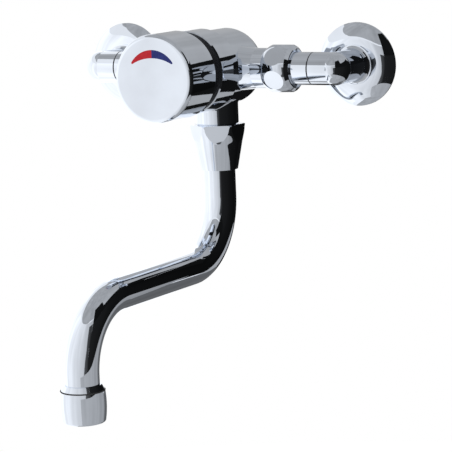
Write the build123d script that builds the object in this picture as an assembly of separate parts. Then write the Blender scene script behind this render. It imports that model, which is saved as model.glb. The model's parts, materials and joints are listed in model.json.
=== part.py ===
from build123d import *
import os
from math import cos, pi, radians, sin, sqrt

os.makedirs("parts", exist_ok=True)

# Wall-mounted basin mixer tap with a push-and-turn knob and a swivelling S-shaped spout.
# Millimetres. +X right, +Y into the wall, +Z up. The wall is the plane Y = 0, and the
# origin lies on it, midway between the two inlets at the height of their axis.

# Whole tap
inlet_spacing = 150.0
axis_from_wall = 28.5
running_gap = 0.05
push_fit = 0.02
loose_gap = 0.3
thread_gap = 0.05

# Wall connection
wall_thread_r = 10.48
wall_thread_chamfer = 1.2
wall_thread_start = 1.0
wall_thread_depth = 14.0
wall_relief_r = 9.6
wall_bore_r = 7.0
flange_r = 23.2
flange_height = 5.4
flange_rim = 0.9
flange_sheet = 1.0
flange_seat = 0.3
shoulder_r = 11.2
shoulder_thickness = 0.9

# Elbow and inlet sleeve
pipe_r = 9.0
elbow_joint_x = 62.0
joint_chamfer = 0.4
elbow_ball_r = 9.15
elbow_bore_r = 6.0
elbow_bore_ball_r = 7.3
spigot_r = 7.8
spigot_length = 8.0
sleeve_bore_r = 5.0
sleeve_flange_r = 10.6
sleeve_flange_thickness = 2.6

# Check valve and filter washer
valve_r = 6.5
valve_length = 13.0
valve_wall = 1.3
valve_seat_thickness = 1.5
poppet_length = 3.0
poppet_setback = 0.4
poppet_cover = 0.4
poppet_stem_r = 1.2
spoke_setback = 1.0
spoke_width = 1.0
spoke_depth = 2.0
valve_port_r = 3.4
washer_thickness = 2.0
washer_hole_r = 6.2
mesh_pitch = 2.4
mesh_bar = 0.6

# Union nut
union_thread_r = 11.2
union_thread_start_x = 34.8
union_nut_length = 16.8
union_nut_flats = 26.0
union_nut_turned_r = 14.9
union_nut_end_r = 12.0
union_nut_shoulder_r = 13.1
union_nut_shoulder = 1.2
union_nut_chamfer = 5.0
union_nut_end_wall = 4.0
union_nut_turn = 25.0

# Body casting
barrel_r = 21.4
barrel_back = 3.0
barrel_back_round = 13.0
collar_r = 23.0
collar_length = 20.0
collar_step = 1.6
collar_chamfer = 0.6
stub_root_r = 12.4
stub_taper_start_x = 17.4
stub_taper_end_x = 28.0
neck_r = 12.0
neck_round = 2.6
neck_chamfer = 0.4
inlet_channel_r = 6.5
inlet_port_r = 3.2
port_offset = 12.0
outlet_channel_r = 5.0
outlet_port_r = 4.0
drill_over = 0.8
floor_height = 36.0
cavity_r = 19.5
head_thread_r = 20.5
head_thread_depth = 7.5

# Spout joint
spout_thread_r = 10.48
spout_nut_top = -31.5
spout_nut_height = 25.5
spout_nut_top_r = 15.4
spout_nut_bottom_r = 10.6
spout_nut_lip = 0.6
spout_nut_flats = 27.2
spout_nut_turn = -2.5
spout_thread_length = 9.0
spigot_socket_r = 8.05
spigot_socket_depth = 7.0
spigot_end_gap = 0.5
spout_seal_setback = 1.8
spout_seal_pitch = 3.0
slide_ring_thickness = 1.0
slide_ring_gap = 0.1
collar_flange_thickness = 2.5
collar_tail_length = 8.0
collar_bore_r = 4.8
ring_section_r = 0.85

# Spout tube
tube_wall = 1.0
bend_radius = 36.0
spout_reach = 149.0
upper_bend_top = -72.3
lower_leg_end = -157.0

# Nozzle
ferrule_length = 8.9
ferrule_thread_length = 5.7
ferrule_top_r = 9.9
ferrule_thread_r = 10.97
ferrule_inset = 0.3
ferrule_rim = 0.4
ferrule_lip = 0.5
nozzle_rim_r = 11.6
nozzle_r = 12.0
nozzle_end_r = 11.2
nozzle_drop = 11.5
nozzle_round = 1.4
nozzle_mouth_r = 8.4
nozzle_lip = 1.4
nozzle_belly_drop = 1.0
nozzle_thread_over = 1.5
nozzle_washer_thickness = 1.5
straightener_height = 6.0
straightener_wall = 1.2
straightener_rim = 0.4
straightener_rib = 0.8
straightener_pitch = 3.4

# Cartridge, measured as distance from the wall
gasket_thickness = 1.5
cartridge_r = 19.3
base_thickness = 4.5
disc_r = 15.0
disc_recess = 2.0
disc_thickness = 3.5
mixing_disc_thickness = 4.0
mixing_bore_r = 5.0
slot_margin = 0.9
temperature_range = 60.0
carrier_flange_r = 15.6
carrier_flange_thickness = 2.5
carrier_tube_r = 10.5
carrier_bore_r = 9.0
seat_bore_r = 7.0
thrust_ring_thickness = 2.5
thrust_ring_bore_r = 12.3
seat_offset = 2.0
window_sill = 0.8
window_lintel = 0.5
window_height = 2.4
window_width = 5.0
window_count = 4
carrier_head = 2.5
drive_lug = (3.0, 2.0, 1.5)
housing_bore_r = 16.5
housing_wall = 2.5
housing_groove_offset = 5.0
housing_groove_width = 2.0
housing_groove_depth = 1.6
snout_r = 15.5
snout_bore_r = 12.2
stop_key_width = 3.0
stop_key_r = 14.3
stop_key_root = 0.5
stop_key_angle = 270.0
stop_play_angle = 6.5
retaining_ring_height = 6.0
retaining_slot_width = 3.0
retaining_slot_depth = 2.0
gland_thickness = 3.5
gland_groove_cover = 0.9
seal_section_r = 0.8
carrier_seal_r = 0.75
carrier_groove_wall = 0.4
carrier_groove_depth = 1.6

# Stem, piston and knob
stem_r = 4.0
stem_flats = 6.8
stem_tail_r = 2.5
push_travel = 5.0
drive_play = 0.2
travel_room = 0.1
stem_groove_depth = 0.6
stem_groove_width = 1.6
stem_end_chamfer = 0.6
stem_end_gap = 0.8
washer_r = 8.4
valve_washer_thickness = 1.6
piston_r = 8.7
piston_thickness = 2.8
piston_notch_r = 2.2
piston_notch_offset = 9.3
piston_notches = 6
piston_nut_flats = 7.0
piston_nut_thickness = 2.0
stem_tail_over = 0.6
cup_r = 12.1
cup_thickness = 3.0
cup_lip = 1.2
cup_spacer_r = 7.0
stem_disc_r = 8.0
stem_disc_thickness = 1.3
stem_disc_gap = 0.2
clip_r = 6.0
clip_bore_r = 3.0
clip_opening = 4.0
clip_thickness = 0.7
knob_r = 24.0
knob_gap = 3.5
knob_wall = 1.7
knob_face_wall = 3.5
knob_front_round = 2.5
knob_back_chamfer = 0.5
hub_r = 8.0
hub_length = 8.5
hub_room = 2.0
hub_screw_offset = 4.5
hub_screw_r = 2.5
hub_screw_recess = 0.3
screw_tip_r = 1.0
screw_tip_length = 1.5
screw_bite = 0.05
screw_key_flats = 2.5
screw_key_depth = 2.0
guide_sleeve_gap = 0.5
guide_sleeve_wall = 1.5
guide_sleeve_setback = 1.0

# Return spring under the knob
spring_r = 10.2
spring_wire_r = 0.7
spring_turns = 5.0

# Hot and cold mark
mark_outer_r = 15.7
mark_inner_r = 25.0
mark_width = 4.4
mark_tip_round = 0.6
mark_depth = 0.4

# Sides that stand for the round section of small rings and wires
ring_sides = 10
wire_sides = 8

tolerance = 1e-3

# Local frames. In each one the axis of revolution is local Z.
# Knob frame: local X is right, local Y is up, local Z is the distance from the wall.
knob_frame = Plane(origin=(0, 0, 0), x_dir=(1, 0, 0), z_dir=(0, -1, 0))
# Spout frame: world directions, with the origin where the spout axis crosses the inlet axis.
spout_frame = Plane(origin=(0, -axis_from_wall, 0), x_dir=(1, 0, 0), z_dir=(0, 0, 1))
# Inlet frames: local Z runs outwards along the inlet axis, local X points away from the wall.
right_inlet_frame = Plane(origin=(0, -axis_from_wall, 0), x_dir=(0, -1, 0), z_dir=(1, 0, 0))
left_inlet_frame = Plane(origin=(0, -axis_from_wall, 0), x_dir=(0, -1, 0), z_dir=(-1, 0, 0))
# Wall frame of the right-hand inlet: local Z is the distance from the wall.
wall_frame = Plane(origin=(inlet_spacing / 2, 0, 0), x_dir=(1, 0, 0), z_dir=(0, -1, 0))

# Places worked out from the sizes above
union_nut_end_x = union_thread_start_x + union_nut_length
sleeve_start_x = union_nut_end_x - union_nut_end_wall - sleeve_flange_thickness
stub_end_x = sleeve_start_x - washer_thickness
gasket_front = floor_height + gasket_thickness
base_front = gasket_front + base_thickness
disc_back = base_front - disc_recess
disc_front = disc_back + disc_thickness
mixing_front = disc_front + mixing_disc_thickness
carrier_flange_front = mixing_front + carrier_flange_thickness
thrust_front = carrier_flange_front + thrust_ring_thickness
housing_groove = base_front + housing_groove_offset
housing_shoulder = thrust_front + housing_wall
collar_front = housing_shoulder + retaining_ring_height
collar_start = collar_front - collar_length
seat_height = housing_shoulder + seat_offset
piston_front = seat_height - valve_washer_thickness
piston_back = piston_front - piston_thickness
piston_nut_back = piston_back - piston_nut_thickness
window_bottom = seat_height + window_sill
carrier_wall_back = window_bottom + window_height + window_lintel
carrier_front = carrier_wall_back + carrier_head
clip_back = carrier_front + push_travel + travel_room
cup_back = clip_back + clip_thickness
cup_front = cup_back + cup_thickness
stem_disc_front = cup_front + stem_disc_thickness
gland_back = stem_disc_front + stem_disc_gap
snout_front = gland_back + gland_thickness
hub_back = snout_front + push_travel + hub_room
screw_height = hub_back + hub_screw_offset
knob_inside = hub_back + hub_length
knob_front = knob_inside + knob_face_wall
knob_back = collar_front + push_travel + knob_gap
guide_sleeve_r = knob_r - knob_wall - guide_sleeve_gap
guide_sleeve_front = snout_front - guide_sleeve_setback
neck_end = spout_nut_top - spout_thread_length
spigot_top = neck_end + spigot_socket_depth - spigot_end_gap
flange_top = neck_end - slide_ring_thickness
flange_bottom = flange_top - collar_flange_thickness
nut_shoulder = flange_bottom - slide_ring_thickness
ferrule_end_r = nozzle_rim_r - ferrule_inset
ferrule_bottom = lower_leg_end - ferrule_lip
ferrule_top = ferrule_bottom + ferrule_length
ferrule_shoulder = ferrule_bottom + ferrule_thread_length
nozzle_bottom = lower_leg_end - nozzle_drop
neck_bottom = spout_nut_top + loose_gap
nozzle_y = -axis_from_wall - spout_reach
shoulder_back = flange_height
shoulder_front = shoulder_back + shoulder_thickness


def lathe(outline):
    """Solid of revolution about local Z, from the corners (radius, height) of its half section."""
    return revolve(make_face(Plane.XZ * Polyline(*outline, close=True)), Axis.Z)


def ring(inner_r, outer_r, bottom, top):
    """Plain ring about local Z."""
    return lathe([(inner_r, bottom), (outer_r, bottom), (outer_r, top), (inner_r, top)])


def disc(radius, bottom, top):
    """Plain round disc about local Z."""
    return lathe([(0, bottom), (radius, bottom), (radius, top), (0, top)])


def o_ring(centre_r, section_r, height):
    """Sealing ring about local Z, its round section drawn with few sides."""
    section = Plane.XZ * Pos(centre_r, height) * RegularPolygon(section_r, ring_sides)
    return revolve(section, Axis.Z)


def hexagon(across_flats, bottom, top, turn=0.0):
    """Hexagonal prism about local Z, one flat facing local X before it is turned."""
    section = RegularPolygon(radius=across_flats / sqrt(3), side_count=6, rotation=30 + turn)
    return Pos(0, 0, bottom) * extrude(section, top - bottom)


def rims(solid, radius, height):
    """Circular edges of one radius at one local height."""
    circles = solid.edges().filter_by(GeomType.CIRCLE)
    at_height = [edge for edge in circles if abs(edge.arc_center.Z - height) < tolerance]
    return [edge for edge in at_height if abs(edge.radius - radius) < tolerance]


def arc_slot(centre_r, half_width, start_angle, end_angle, bottom, top):
    """Curved slot cutter about local Z, with round ends, between two angles in degrees."""
    sweep_angle = end_angle - start_angle
    band = make_face(
        Plane.XZ * Polyline(
            (centre_r - half_width, bottom),
            (centre_r + half_width, bottom),
            (centre_r + half_width, top),
            (centre_r - half_width, top),
            close=True,
        )
    )
    slot = Rot(0, 0, start_angle) * revolve(band, Axis.Z, sweep_angle)
    for angle in (start_angle, end_angle):
        end_x = centre_r * cos(radians(angle))
        end_y = centre_r * sin(radians(angle))
        slot += Pos(end_x, end_y, 0) * disc(half_width, bottom, top)
    return slot


def make_wall_flange():
    """Pressed round cover that hides the hole in the wall, held by the elbow's shoulder."""
    hole_r = wall_thread_r + loose_gap
    seat_r = shoulder_r + flange_seat
    inside = flange_height - flange_sheet
    outer_arc = TangentArc((seat_r, flange_height), (flange_r, flange_rim), tangent=(1, 0))
    seat = Polyline((seat_r, inside), (hole_r, inside), (hole_r, flange_height), (seat_r, flange_height))
    inner_arc = TangentArc((seat_r, inside), (flange_r - flange_sheet, 0), tangent=(1, 0))
    foot = Polyline((flange_r - flange_sheet, 0), (flange_r, 0), (flange_r, flange_rim))
    section = make_face(Plane.XZ * (outer_arc + seat + inner_arc + foot))
    return wall_frame * revolve(section, Axis.Z)


def make_elbow():
    """Cast elbow: a ball corner, a leg to the sleeve, and a shouldered male tail for the wall."""
    corner = Location((inlet_spacing / 2, -axis_from_wall, 0))
    inlet_leg = right_inlet_frame * ring(0, pipe_r, elbow_joint_x, inlet_spacing / 2)
    inlet_leg = chamfer(inlet_leg.edges().sort_by(Axis.X)[0], joint_chamfer)
    cove = shoulder_r - pipe_r
    cove_middle = (shoulder_r - cove * sqrt(0.5), shoulder_front + cove * (1 - sqrt(0.5)))
    leg_section = Polyline(
        (pipe_r, shoulder_front + cove),
        (pipe_r, axis_from_wall),
        (0, axis_from_wall),
        (0, shoulder_back),
        (shoulder_r, shoulder_back),
        (shoulder_r, shoulder_front),
    )
    leg_section += ThreePointArc((shoulder_r, shoulder_front), cove_middle, (pipe_r, shoulder_front + cove))
    wall_leg = wall_frame * revolve(make_face(Plane.XZ * leg_section), Axis.Z)
    tail = disc(wall_thread_r, -wall_thread_depth, -wall_thread_start)
    tail = wall_frame * chamfer(rims(tail, wall_thread_r, -wall_thread_depth), wall_thread_chamfer)
    relief = wall_frame * disc(wall_relief_r, -wall_thread_start, shoulder_back)
    outside = inlet_leg + wall_leg + corner * Sphere(elbow_ball_r) + relief + tail
    wall_bore = wall_frame * disc(wall_bore_r, -wall_thread_depth, axis_from_wall)
    inlet_bore = right_inlet_frame * disc(elbow_bore_r, elbow_joint_x, inlet_spacing / 2)
    socket_end = elbow_joint_x + spigot_length + spigot_end_gap
    socket = right_inlet_frame * disc(spigot_r + thread_gap, elbow_joint_x, socket_end)
    return outside - wall_bore - inlet_bore - socket - corner * Sphere(elbow_bore_ball_r)


def make_inlet_sleeve():
    """Tube from the union nut to the elbow, with a flange that the nut pulls on."""
    flange_end = sleeve_start_x + sleeve_flange_thickness
    spigot_end = elbow_joint_x + spigot_length
    pocket_end = sleeve_start_x + valve_length
    sleeve = lathe([
        (valve_r + running_gap, sleeve_start_x),
        (sleeve_flange_r, sleeve_start_x),
        (sleeve_flange_r, flange_end),
        (pipe_r, flange_end),
        (pipe_r, elbow_joint_x),
        (spigot_r, elbow_joint_x),
        (spigot_r, spigot_end),
        (sleeve_bore_r, spigot_end),
        (sleeve_bore_r, pocket_end),
        (valve_r + running_gap, pocket_end),
    ])
    return chamfer(rims(sleeve, pipe_r, elbow_joint_x), joint_chamfer)


def make_check_valve():
    """Non-return valve cartridge: a cage with a seat, and a closed poppet on three spokes."""
    start = sleeve_start_x
    end = sleeve_start_x + valve_length
    inner_r = valve_r - valve_wall
    seat_back = end - valve_seat_thickness
    poppet_back = seat_back - poppet_length
    poppet_front = end - poppet_setback
    cage = ring(inner_r, valve_r, start, end)
    seat = ring(valve_port_r, inner_r, seat_back, end)
    poppet = lathe([
        (0, poppet_back),
        (valve_port_r + poppet_cover, poppet_back),
        (valve_port_r + poppet_cover, seat_back),
        (valve_port_r, seat_back),
        (poppet_stem_r, poppet_front),
        (0, poppet_front),
    ])
    stem = disc(poppet_stem_r, start + spoke_setback, poppet_back)
    valve = cage + seat + poppet + stem
    spoke = Box(inner_r + valve_wall / 2, spoke_width, spoke_depth)
    spoke = Pos(inner_r / 2, 0, start + spoke_setback + spoke_depth / 2) * spoke
    for turn in (0, 120, 240):
        valve += Rot(0, 0, turn) * spoke
    return valve


def make_filter_washer():
    """Rubber union washer that carries a fine strainer grid across its hole."""
    start = stub_end_x
    washer = ring(washer_hole_r, sleeve_flange_r, start, sleeve_start_x)
    middle = (start + sleeve_start_x) / 2
    bars = int(washer_hole_r / mesh_pitch)
    for index in range(-bars, bars + 1):
        half_chord = sqrt(washer_hole_r**2 - (index * mesh_pitch) ** 2)
        length = 2 * half_chord + mesh_bar
        washer += Pos(index * mesh_pitch, 0, middle) * Box(mesh_bar, length, mesh_bar)
        washer += Pos(0, index * mesh_pitch, middle) * Box(length, mesh_bar, mesh_bar)
    return washer


def make_union_nut():
    """Hexagonal union nut with both ends chamfered, so that its flats look round."""
    start = union_thread_start_x
    end = union_nut_end_x
    nut = lathe([
        (0, start),
        (union_nut_end_r, start),
        (union_nut_turned_r, start + union_nut_chamfer),
        (union_nut_turned_r, end - union_nut_chamfer),
        (union_nut_shoulder_r, end - union_nut_shoulder),
        (union_nut_end_r, end),
        (0, end),
    ])
    nut &= hexagon(union_nut_flats, start, end, union_nut_turn)
    nut -= disc(union_thread_r + thread_gap, start, end - union_nut_end_wall)
    return nut - disc(pipe_r + 3 * running_gap, end - union_nut_end_wall, end)


def make_body():
    """Hot-stamped and drilled body: barrel with its head, two inlet stubs and the outlet neck."""
    barrel = disc(barrel_r, barrel_back, collar_front - head_thread_depth)
    barrel = fillet(rims(barrel, barrel_r, barrel_back), barrel_back_round)
    neck = lathe([
        (0, 0),
        (neck_r, 0),
        (neck_r, neck_bottom + neck_chamfer),
        (neck_r - neck_chamfer, neck_bottom),
        (spout_thread_r, neck_bottom),
        (spout_thread_r, neck_end),
        (0, neck_end),
    ])
    outside = knob_frame * barrel + spout_frame * neck
    outside = fillet(neck_seam(outside), neck_round)
    collar = lathe([
        (0, collar_start),
        (barrel_r, collar_start),
        (collar_r, collar_start + collar_step),
        (collar_r, collar_front),
        (0, collar_front),
    ])
    outside += knob_frame * chamfer(rims(collar, collar_r, collar_front), collar_chamfer)
    stub = lathe([
        (0, 0),
        (stub_root_r, 0),
        (stub_root_r, stub_taper_start_x),
        (union_thread_r, stub_taper_end_x),
        (union_thread_r, stub_end_x),
        (0, stub_end_x),
    ])
    for frame in (right_inlet_frame, left_inlet_frame):
        outside += frame * stub
    body = outside
    for frame in (right_inlet_frame, left_inlet_frame):
        body -= frame * disc(inlet_channel_r, port_offset - inlet_port_r - drill_over, stub_end_x)
    for offset in (-port_offset, port_offset):
        body -= knob_frame * Pos(offset, 0, 0) * disc(inlet_port_r, axis_from_wall, floor_height)
    body -= knob_frame * disc(outlet_port_r, axis_from_wall, floor_height)
    body -= spout_frame * disc(outlet_channel_r, neck_end, outlet_port_r + drill_over)
    body -= spout_frame * disc(spigot_socket_r, neck_end, neck_end + spigot_socket_depth)
    thread_start = collar_front - head_thread_depth
    cavity = disc(cavity_r, floor_height, thread_start) + disc(head_thread_r, thread_start, collar_front)
    return body - knob_frame * cavity


def neck_seam(solid):
    """Edges where the outlet neck leaves the underside of the barrel."""
    found = []
    for edge in solid.edges():
        centre = edge.center()
        beside_axis = sqrt(centre.X**2 + (centre.Y + axis_from_wall) ** 2)
        if -barrel_r - tolerance < centre.Z < -barrel_r / 2 and beside_axis < neck_r + tolerance:
            found.append(edge)
    return found


def make_port_gasket():
    """Rubber gasket between the body's floor and the cartridge, open at the three ports."""
    gasket = disc(cartridge_r - loose_gap, floor_height, gasket_front)
    gasket -= disc(outlet_port_r, floor_height, gasket_front)
    for offset in (-port_offset, port_offset):
        gasket -= Pos(offset, 0, 0) * disc(inlet_port_r, floor_height, gasket_front)
    return gasket


def make_cartridge_base():
    """Base of the cartridge: three ports, and a recess that holds the fixed ceramic disc."""
    base = disc(cartridge_r, gasket_front, base_front)
    base -= disc(disc_r + running_gap, disc_back, base_front)
    base -= disc(outlet_port_r, gasket_front, disc_back)
    for offset in (-port_offset, port_offset):
        base -= Pos(offset, 0, 0) * disc(inlet_port_r, gasket_front, disc_back)
    return base


def make_fixed_disc():
    """Fixed ceramic disc with the hot, cold and mixed-water ports."""
    plate = disc(disc_r, disc_back, disc_front)
    plate -= disc(outlet_port_r, disc_back, disc_front)
    for offset in (-port_offset, port_offset):
        plate -= Pos(offset, 0, 0) * disc(inlet_port_r, disc_back, disc_front)
    return plate


def mixing_slots(bottom, top):
    """Two curved slots that open one port while they close the other as the knob turns."""
    half_width = inlet_port_r - slot_margin
    right_slot = arc_slot(port_offset, half_width, 0, temperature_range, bottom, top)
    left_slot = arc_slot(port_offset, half_width, 180 - temperature_range, 180, bottom, top)
    return right_slot + left_slot


def drive_lugs(clearance):
    """Two lugs by which the carrier turns the mixing disc, larger by a clearance as pockets."""
    width, depth, height = drive_lug
    lugs = []
    for turn in (90, 270):
        lug = Pos(port_offset, 0, mixing_front - (height + clearance) / 2)
        lug = lug * Box(depth + clearance, width + clearance, height + clearance)
        lugs.append(Rot(0, 0, turn) * lug)
    return lugs


def make_mixing_disc():
    """Turning ceramic disc that meters hot against cold."""
    plate = disc(disc_r, disc_front, mixing_front)
    plate -= disc(mixing_bore_r, disc_front, mixing_front)
    plate -= mixing_slots(disc_front, mixing_front)
    for pocket in drive_lugs(drive_play):
        plate -= pocket
    return plate


def make_drive_carrier():
    """Carrier turned by the stem: it drives the mixing disc and holds the valve seat."""
    carrier = disc(carrier_flange_r, mixing_front, carrier_flange_front)
    carrier += disc(carrier_tube_r, carrier_flange_front, carrier_wall_back)
    carrier += disc(snout_bore_r - running_gap, carrier_wall_back, carrier_front)
    groove_bottom = carrier_wall_back + carrier_groove_wall
    groove_top = carrier_front - carrier_groove_wall
    carrier -= ring(snout_bore_r - carrier_groove_depth, snout_bore_r, groove_bottom, groove_top)
    carrier -= disc(carrier_bore_r, mixing_front, seat_height)
    carrier -= disc(seat_bore_r, seat_height, carrier_wall_back)
    carrier -= hexagon(stem_flats + drive_play, carrier_wall_back, carrier_front)
    carrier -= mixing_slots(mixing_front, carrier_flange_front)
    for index in range(window_count):
        window = Pos(carrier_tube_r, 0, window_bottom + window_height / 2)
        window = window * Box(2 * carrier_tube_r - 2, window_width, window_height)
        carrier -= Rot(0, 0, 45 + 360 / window_count * index) * window
    notch_half = temperature_range + stop_play_angle
    notch_start = stop_key_angle - notch_half
    notch_end = stop_key_angle + notch_half
    notch = arc_sector(stop_key_r - loose_gap, housing_bore_r, notch_start, notch_end)
    carrier -= Pos(0, 0, mixing_front) * extrude(notch, carrier_flange_thickness)
    for lug in drive_lugs(0):
        carrier += lug
    return carrier


def arc_sector(inner_r, outer_r, start_angle, end_angle):
    """Flat band of a ring between two angles in degrees."""
    def at(radius, angle):
        return (radius * cos(radians(angle)), radius * sin(radians(angle)))

    middle = (start_angle + end_angle) / 2
    outer = ThreePointArc(at(outer_r, start_angle), at(outer_r, middle), at(outer_r, end_angle))
    inner = ThreePointArc(at(inner_r, start_angle), at(inner_r, middle), at(inner_r, end_angle))
    end_side = Line(at(outer_r, end_angle), at(inner_r, end_angle))
    start_side = Line(at(inner_r, start_angle), at(outer_r, start_angle))
    return make_face(outer + inner + end_side + start_side)


def make_cartridge_housing():
    """Cartridge housing: a sleeve round the discs, a shoulder, and the snout that guides the stem."""
    groove_r = cartridge_r - housing_groove_depth
    groove_end = housing_groove + housing_groove_width
    housing = lathe([
        (housing_bore_r, base_front),
        (cartridge_r, base_front),
        (cartridge_r, housing_groove),
        (groove_r, housing_groove),
        (groove_r, groove_end),
        (cartridge_r, groove_end),
        (cartridge_r, housing_shoulder),
        (snout_r, housing_shoulder),
        (snout_r, snout_front),
        (snout_bore_r, snout_front),
        (snout_bore_r, thrust_front),
        (housing_bore_r, thrust_front),
    ])
    key_depth = housing_bore_r - stop_key_r + stop_key_root
    key = Pos(0, -(stop_key_r + key_depth / 2), (mixing_front + carrier_flange_front) / 2)
    return housing + key * Box(stop_key_width, key_depth, carrier_flange_thickness)


def make_housing_seal():
    """Rubber ring that seals the housing in the body."""
    centre_r = cartridge_r - housing_groove_depth + ring_section_r
    return o_ring(centre_r, ring_section_r, housing_groove + housing_groove_width / 2)


def make_thrust_ring():
    """Slippery ring between the carrier's flange and the housing."""
    outer_r = housing_bore_r - 2 * running_gap
    return ring(thrust_ring_bore_r, outer_r, carrier_flange_front + running_gap, thrust_front)


def make_gland_seal():
    """Rubber ring round the stem."""
    centre_height = snout_front - gland_groove_cover - seal_section_r
    return o_ring(stem_r + running_gap + seal_section_r, seal_section_r, centre_height)


def make_carrier_seal():
    """Rubber ring between the carrier's head and the snout."""
    centre_r = snout_bore_r - running_gap - carrier_seal_r
    return o_ring(centre_r, carrier_seal_r, (carrier_wall_back + carrier_front) / 2)


def make_gland_bush():
    """Threaded bush that closes the snout and seals round the stem."""
    groove_top = snout_front - gland_groove_cover
    groove_bottom = groove_top - 2 * seal_section_r
    groove_r = stem_r + 2 * (seal_section_r + running_gap)
    return lathe([
        (stem_r + running_gap, gland_back),
        (snout_bore_r - thread_gap, gland_back),
        (snout_bore_r - thread_gap, snout_front),
        (stem_r + running_gap, snout_front),
        (stem_r + running_gap, groove_top),
        (groove_r, groove_top),
        (groove_r, groove_bottom),
        (stem_r + running_gap, groove_bottom),
    ])


def make_retaining_ring():
    """Threaded ring that clamps the cartridge into the body, with four spanner slots."""
    bottom = housing_shoulder
    solid = ring(snout_r + 4 * running_gap, head_thread_r - thread_gap, bottom, collar_front)
    slot = Pos(0, 0, collar_front - retaining_slot_depth / 2)
    slot = slot * Box(2 * collar_r, retaining_slot_width, retaining_slot_depth)
    for turn in (0, 90):
        solid -= Rot(0, 0, turn) * slot
    return solid


def make_guide_sleeve():
    """Dark plastic sleeve pushed on the snout, which fills the gap behind the knob."""
    lip_top = collar_front + guide_sleeve_wall
    inner_r = guide_sleeve_r - guide_sleeve_wall
    return lathe([
        (snout_r + push_fit, collar_front),
        (guide_sleeve_r, collar_front),
        (guide_sleeve_r, guide_sleeve_front),
        (inner_r, guide_sleeve_front),
        (inner_r, lip_top),
        (snout_r + push_fit, lip_top),
    ])


def make_stem():
    """Stem: round in the gland, hexagonal where it drives the carrier, threaded at its tail."""
    tail_end = piston_nut_back - stem_tail_over
    stem_end = knob_inside - stem_end_gap
    stem = lathe([
        (0, clip_back),
        (stem_r, clip_back),
        (stem_r, cup_front),
        (stem_disc_r, cup_front),
        (stem_disc_r, stem_disc_front),
        (stem_r, stem_disc_front),
        (stem_r, screw_height - hub_screw_r),
        (stem_r - stem_groove_depth, screw_height - stem_groove_width / 2),
        (stem_r - stem_groove_depth, screw_height + stem_groove_width / 2),
        (stem_r, screw_height + hub_screw_r),
        (stem_r, stem_end - stem_end_chamfer),
        (stem_r - stem_end_chamfer, stem_end),
        (0, stem_end),
    ])
    stem -= ring(clip_bore_r, stem_r + 1.0, clip_back, cup_back)
    stem += hexagon(stem_flats, seat_height, clip_back)
    return stem + disc(stem_tail_r, tail_end, seat_height)


def make_timing_cup():
    """Rubber cup of the timing chamber, with a lip towards the wall."""
    return lathe([
        (stem_r, cup_back + cup_lip),
        (stem_r, cup_front),
        (cup_r - cup_lip, cup_front),
        (cup_r, cup_back),
        (cup_r - cup_lip, cup_back),
        (cup_r - 2 * cup_lip, cup_back + cup_lip),
    ])


def make_cup_clip():
    """Spring clip that holds the cup on the stem."""
    clip = ring(clip_bore_r, clip_r, clip_back, cup_back)
    opening = Pos(0, -clip_r / 2, (clip_back + cup_back) / 2)
    return clip - opening * Box(clip_opening, clip_r + 1.0, 2 * clip_thickness)


def make_cup_spacer():
    """Brass spacer between the clip and the cup's web."""
    return ring(stem_r, cup_spacer_r, cup_back, cup_back + cup_lip)


def make_valve_washer():
    """Rubber washer that closes against the seat."""
    return ring(stem_tail_r, washer_r, piston_front, seat_height)


def make_piston():
    """Piston plate behind the valve washer, notched so that water passes round it."""
    piston = ring(stem_tail_r, piston_r, piston_back, piston_front)
    notch = Pos(piston_notch_offset, 0, 0) * disc(piston_notch_r, piston_back, piston_front)
    for index in range(piston_notches):
        piston -= Rot(0, 0, 360 / piston_notches * index) * notch
    return piston


def make_piston_nut():
    """Nut that holds the piston and its washer on the stem's tail."""
    nut = hexagon(piston_nut_flats, piston_nut_back, piston_back)
    return nut - disc(stem_tail_r, piston_nut_back, piston_back)


def mark_outline():
    """Crescent of the hot and cold mark, drawn on the knob's face."""
    inner_centre = mark_outer_r - mark_width - mark_inner_r
    crescent = Circle(mark_outer_r) - Pos(0, inner_centre) * Circle(mark_inner_r)
    return fillet(crescent.vertices(), mark_tip_round)


def make_mark(side):
    """One half of the crescent, to the left (-1) or to the right (1)."""
    half = Pos(side * knob_r, 0) * Rectangle(2 * knob_r, 4 * knob_r)
    return Pos(0, 0, knob_front - mark_depth) * extrude(mark_outline() & half, mark_depth)


def make_knob():
    """Push-and-turn knob: a cup with a hub, a clamping screw hole and a shallow mark recess."""
    knob = disc(knob_r, knob_back, knob_front)
    knob = fillet(rims(knob, knob_r, knob_front), knob_front_round)
    knob = chamfer(rims(knob, knob_r, knob_back), knob_back_chamfer)
    knob -= disc(knob_r - knob_wall, knob_back, knob_inside)
    knob += disc(hub_r, hub_back, knob_inside)
    knob -= disc(stem_r, hub_back, knob_inside - stem_end_gap)
    screw_line = Plane(origin=(0, 0, screw_height), x_dir=(1, 0, 0), z_dir=(0, -1, 0))
    knob -= screw_line * disc(hub_screw_r, 0, knob_r + 1.0)
    return knob - Pos(0, 0, knob_front - mark_depth) * extrude(mark_outline(), mark_depth)


def make_knob_screw():
    """Hexagon-socket grub screw that clamps the hub on the stem's groove."""
    screw_line = Plane(origin=(0, 0, screw_height), x_dir=(1, 0, 0), z_dir=(0, -1, 0))
    tip = stem_r - stem_groove_depth + screw_bite
    head = hub_r - hub_screw_recess
    screw = lathe([
        (0, tip),
        (screw_tip_r, tip),
        (hub_screw_r, tip + screw_tip_length),
        (hub_screw_r, head),
        (0, head),
    ])
    return screw_line * (screw - hexagon(screw_key_flats, head - screw_key_depth, head))


def spring_point(turns, height):
    """Point of the spring's centre line after a number of turns."""
    angle = 2 * pi * turns
    rise = spring_wire_r + (height - 2 * spring_wire_r) * turns / spring_turns
    return Vector(spring_r * cos(angle), spring_r * sin(angle), rise)


def spring_tangent(turns, height):
    """Direction of the spring's centre line after a number of turns."""
    angle = 2 * pi * turns
    climb = (height - 2 * spring_wire_r) / spring_turns / (2 * pi)
    return Vector(-spring_r * sin(angle), spring_r * cos(angle), climb).normalized()


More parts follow.
